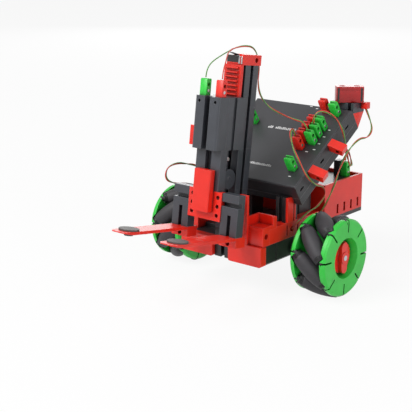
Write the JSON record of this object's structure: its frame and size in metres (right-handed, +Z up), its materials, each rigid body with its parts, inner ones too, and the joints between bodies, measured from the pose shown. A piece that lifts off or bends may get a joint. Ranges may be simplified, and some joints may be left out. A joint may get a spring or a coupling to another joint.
{
  "type": "mecanum wheel forklift robot",
  "caption": "Small construction-kit robot with mecanum drive wheels, a rear castor, a sloping controller and forks that a geared motor raises along a toothed mast.",
  "frame": {"origin": "on the floor, at the middle of the robot's length and width", "axes": "-Y the way the forks point, +X the robot's left, +Z up"},
  "size_m": [0.165, 0.2175, 0.1771],
  "materials": {
    "red_plastic": "satin moulded",
    "green_plastic": "satin moulded",
    "block_plastic": "satin moulded, anthracite",
    "black_plastic": "satin moulded",
    "controller_plastic": "fine spark-eroded grain",
    "circuit_board": "solder mask",
    "rubber": "smooth",
    "steel": "turned",
    "lead": "smooth two-core insulation"
  },
  "bodies": {
    "root": {"frame_girders": "red_plastic", "front_tray": "red_plastic", "mast_cap": "red_plastic", "lift_rack": "red_plastic", "battery_tray": "red_plastic", "sensor_head": "red_plastic", "plugs_red": "red_plastic", "cable_clips": "red_plastic", "plugs_green": "green_plastic", "mast_column": "block_plastic", "head_mount": "block_plastic", "drive_motor_left": "black_plastic", "drive_motor_right": "black_plastic", "chassis_plates": "black_plastic", "limit_switch": "black_plastic", "battery_pack": "black_plastic", "castor_bracket": "black_plastic", "controller_cover": "controller_plastic", "controller_base": "controller_plastic", "circuit_board": "circuit_board", "lift_lead": "lead", "motor_lead_left": "lead", "motor_lead_right": "lead", "head_lead": "lead", "battery_lead": "lead"},
    "lift_carriage": {"lift_motor": "block_plastic", "lift_gearbox": "block_plastic", "carriage_blocks": "block_plastic", "carriage_frame": "red_plastic", "fork_tines": "red_plastic", "fork_pads": "rubber", "lift_plug_green": "green_plastic", "lift_plug_red": "red_plastic"},
    "lift_pinion": {"lift_pinion": "black_plastic"},
    "guide_rollers": {"guide_rollers": "black_plastic"},
    "castor_fork": {"castor_fork": "black_plastic"},
    "castor_wheel": {"castor_wheel": "rubber"},
    "wheel_left": {"wheel_rim_left": "green_plastic", "hub_nut_left": "red_plastic", "wheel_axle_left": "steel"},
    "wheel_right": {"wheel_rim_right": "green_plastic", "hub_nut_right": "red_plastic", "wheel_axle_right": "steel"},
    "power_button": {"power_button": "black_plastic"},
    "roller_left_1": {"roller_left_1": "rubber"},
    "roller_left_2": {"roller_left_2": "rubber"},
    "roller_left_3": {"roller_left_3": "rubber"},
    "roller_left_4": {"roller_left_4": "rubber"},
    "roller_left_5": {"roller_left_5": "rubber"},
    "roller_left_6": {"roller_left_6": "rubber"},
    "roller_left_7": {"roller_left_7": "rubber"},
    "roller_left_8": {"roller_left_8": "rubber"},
    "roller_right_1": {"roller_right_1": "rubber"},
    "roller_right_2": {"roller_right_2": "rubber"},
    "roller_right_3": {"roller_right_3": "rubber"},
    "roller_right_4": {"roller_right_4": "rubber"},
    "roller_right_5": {"roller_right_5": "rubber"},
    "roller_right_6": {"roller_right_6": "rubber"},
    "roller_right_7": {"roller_right_7": "rubber"},
    "roller_right_8": {"roller_right_8": "rubber"}
  },
  "joints": [
    {"name": "lift_slide", "type": "slide", "parent": "root", "child": "lift_carriage", "axis": [0, 0.1305, 0.9914], "range_m": [-0.015, 0.014], "deforming": ["lift_lead"]},
    {"name": "pinion_turn", "type": "hinge", "parent": "lift_carriage", "child": "lift_pinion", "pos_m": [0, -0.02317, 0.12495], "axis": [1, 0, 0], "range_deg": [-140, 150]},
    {"name": "guide_turn", "type": "hinge", "parent": "lift_carriage", "child": "guide_rollers", "pos_m": [0, -0.02335, 0.08412], "axis": [1, 0, 0], "range_deg": [-110, 120]},
    {"name": "castor_swivel", "type": "hinge", "parent": "root", "child": "castor_fork", "pos_m": [0, 0.0837, 0.03], "axis": [0, 0, 1], "continuous": true},
    {"name": "castor_roll", "type": "hinge", "parent": "castor_fork", "child": "castor_wheel", "pos_m": [0, 0.0937, 0.013], "axis": [1, 0, 0], "continuous": true},
    {"name": "wheel_left_turn", "type": "hinge", "parent": "root", "child": "wheel_left", "pos_m": [0.0675, 0.0177, 0.03], "axis": [1, 0, 0], "continuous": true},
    {"name": "wheel_right_turn", "type": "hinge", "parent": "root", "child": "wheel_right", "pos_m": [-0.0675, 0.0177, 0.03], "axis": [1, 0, 0], "continuous": true},
    {"name": "button_press", "type": "slide", "parent": "root", "child": "power_button", "axis": [0, -0.5373, 0.8434], "range_m": [-0.001, 0], "stiffness_N_per_m": 300},
    {"name": "roller_left_1_turn", "type": "hinge", "parent": "wheel_left", "child": "roller_left_1", "pos_m": [0.0675, 0.02339, 0.0072], "axis": [0.7071, 0.6861, 0.1711], "continuous": true},
    {"name": "roller_left_2_turn", "type": "hinge", "parent": "wheel_left", "child": "roller_left_2", "pos_m": [0.0675, 0.03785, 0.0179], "axis": [0.7071, 0.3642, 0.6061], "continuous": true},
    {"name": "roller_left_3_turn", "type": "hinge", "parent": "wheel_left", "child": "roller_left_3", "pos_m": [0.0675, 0.04051, 0.03569], "axis": [0.7071, -0.1711, 0.6861], "continuous": true},
    {"name": "roller_left_4_turn", "type": "hinge", "parent": "wheel_left", "child": "roller_left_4", "pos_m": [0.0675, 0.02981, 0.05014], "axis": [0.7071, -0.6061, 0.3642], "continuous": true},
    {"name": "roller_left_5_turn", "type": "hinge", "parent": "wheel_left", "child": "roller_left_5", "pos_m": [0.0675, 0.01202, 0.0528], "axis": [0.7071, -0.6861, -0.1711], "continuous": true},
    {"name": "roller_left_6_turn", "type": "hinge", "parent": "wheel_left", "child": "roller_left_6", "pos_m": [0.0675, -0.00244, 0.0421], "axis": [0.7071, -0.3642, -0.6061], "continuous": true},
    {"name": "roller_left_7_turn", "type": "hinge", "parent": "wheel_left", "child": "roller_left_7", "pos_m": [0.0675, -0.0051, 0.02431], "axis": [0.7071, 0.1711, -0.6861], "continuous": true},
    {"name": "roller_left_8_turn", "type": "hinge", "parent": "wheel_left", "child": "roller_left_8", "pos_m": [0.0675, 0.0056, 0.00986], "axis": [0.7071, 0.6061, -0.3642], "continuous": true},
    {"name": "roller_right_1_turn", "type": "hinge", "parent": "wheel_right", "child": "roller_right_1", "pos_m": [-0.0675, 0.02339, 0.0072], "axis": [-0.7071, 0.6861, 0.1711], "continuous": true},
    {"name": "roller_right_2_turn", "type": "hinge", "parent": "wheel_right", "child": "roller_right_2", "pos_m": [-0.0675, 0.03785, 0.0179], "axis": [-0.7071, 0.3642, 0.6061], "continuous": true},
    {"name": "roller_right_3_turn", "type": "hinge", "parent": "wheel_right", "child": "roller_right_3", "pos_m": [-0.0675, 0.04051, 0.03569], "axis": [-0.7071, -0.1711, 0.6861], "continuous": true},
    {"name": "roller_right_4_turn", "type": "hinge", "parent": "wheel_right", "child": "roller_right_4", "pos_m": [-0.0675, 0.02981, 0.05014], "axis": [-0.7071, -0.6061, 0.3642], "continuous": true},
    {"name": "roller_right_5_turn", "type": "hinge", "parent": "wheel_right", "child": "roller_right_5", "pos_m": [-0.0675, 0.01202, 0.0528], "axis": [-0.7071, -0.6861, -0.1711], "continuous": true},
    {"name": "roller_right_6_turn", "type": "hinge", "parent": "wheel_right", "child": "roller_right_6", "pos_m": [-0.0675, -0.00244, 0.0421], "axis": [-0.7071, -0.3642, -0.6061], "continuous": true},
    {"name": "roller_right_7_turn", "type": "hinge", "parent": "wheel_right", "child": "roller_right_7", "pos_m": [-0.0675, -0.0051, 0.02431], "axis": [-0.7071, 0.1711, -0.6861], "continuous": true},
    {"name": "roller_right_8_turn", "type": "hinge", "parent": "wheel_right", "child": "roller_right_8", "pos_m": [-0.0675, 0.0056, 0.00986], "axis": [-0.7071, 0.6061, -0.3642], "continuous": true}
  ],
  "couplings": [
    {"joint": "pinion_turn", "follows": "lift_slide", "rad_per_m": -166.67},
    {"joint": "guide_turn", "follows": "lift_slide", "rad_per_m": -131.58}
  ]
}
